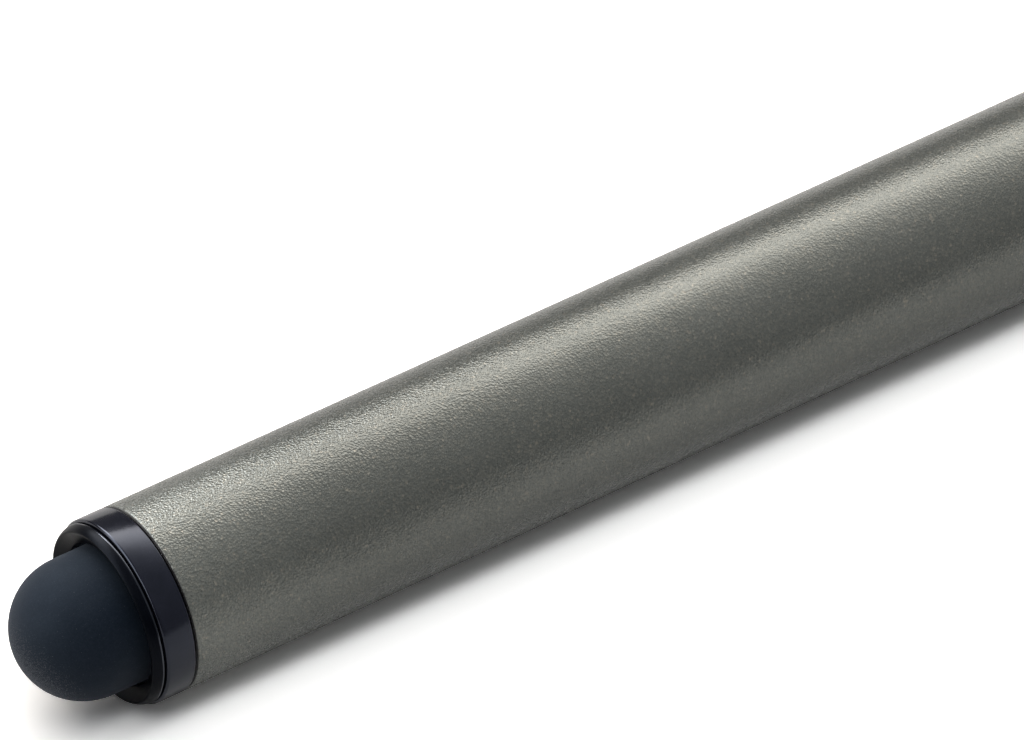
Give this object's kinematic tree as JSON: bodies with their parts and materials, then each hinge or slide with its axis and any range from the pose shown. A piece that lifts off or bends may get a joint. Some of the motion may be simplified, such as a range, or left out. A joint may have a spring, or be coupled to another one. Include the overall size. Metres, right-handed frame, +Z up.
{
  "type": "inkless pen",
  "caption": "Slim round metal pen that writes with an alloy nib and has a rubber touch-screen tip at its other end; both ends unscrew.",
  "frame": {"origin": "on the surface that the pen lies on, under the middle of its length", "axes": "+X along the pen towards the nib, the touch tip at -X; +Z up"},
  "size_m": [0.1448, 0.01, 0.01],
  "materials": {
    "barrel_coating": "fine satin metallic coating, gunmetal with an olive cast",
    "bush_brass": "turned",
    "ring_black_gloss": "glossy black",
    "housing_black_satin": "satin black",
    "dome_rubber": "matt conductive rubber",
    "turned_steel": "turned",
    "oring_rubber": "smooth",
    "ring_chrome": "polished",
    "nib_alloy": "soft grey writing alloy"
  },
  "bodies": {
    "barrel": {"barrel_tube": "barrel_coating", "rear_bush": "bush_brass", "front_bush": "bush_brass"},
    "stylus_ring": {"stylus_trim_ring": "ring_black_gloss"},
    "stylus_head": {"stylus_housing": "housing_black_satin", "stylus_dome": "dome_rubber", "stylus_stem": "turned_steel", "rear_oring": "oring_rubber"},
    "front_ring": {"front_trim_ring": "ring_chrome"},
    "writing_head": {"grip_section": "barrel_coating", "front_oring": "oring_rubber", "nib_holder": "turned_steel", "nib": "nib_alloy"}
  },
  "joints": [
    {"name": "stylus_lift", "type": "slide", "parent": "barrel", "child": "stylus_ring", "axis": [-1, 0, 0], "range_m": [0, 0.004]},
    {"name": "stylus_unscrew", "type": "hinge", "parent": "stylus_ring", "child": "stylus_head", "pos_m": [-0.07, 0, 0.005], "axis": [-1, 0, 0], "range_deg": [0, 1800]},
    {"name": "front_lift", "type": "slide", "parent": "barrel", "child": "front_ring", "axis": [1, 0, 0], "range_m": [0, 0.005]},
    {"name": "front_unscrew", "type": "hinge", "parent": "front_ring", "child": "writing_head", "pos_m": [0.04, 0, 0.005], "axis": [1, 0, 0], "range_deg": [0, 1800]}
  ],
  "couplings": [
    {"joint": "stylus_unscrew", "follows": "stylus_lift", "rad_per_m": 7854},
    {"joint": "front_unscrew", "follows": "front_lift", "rad_per_m": 6283.2}
  ]
}
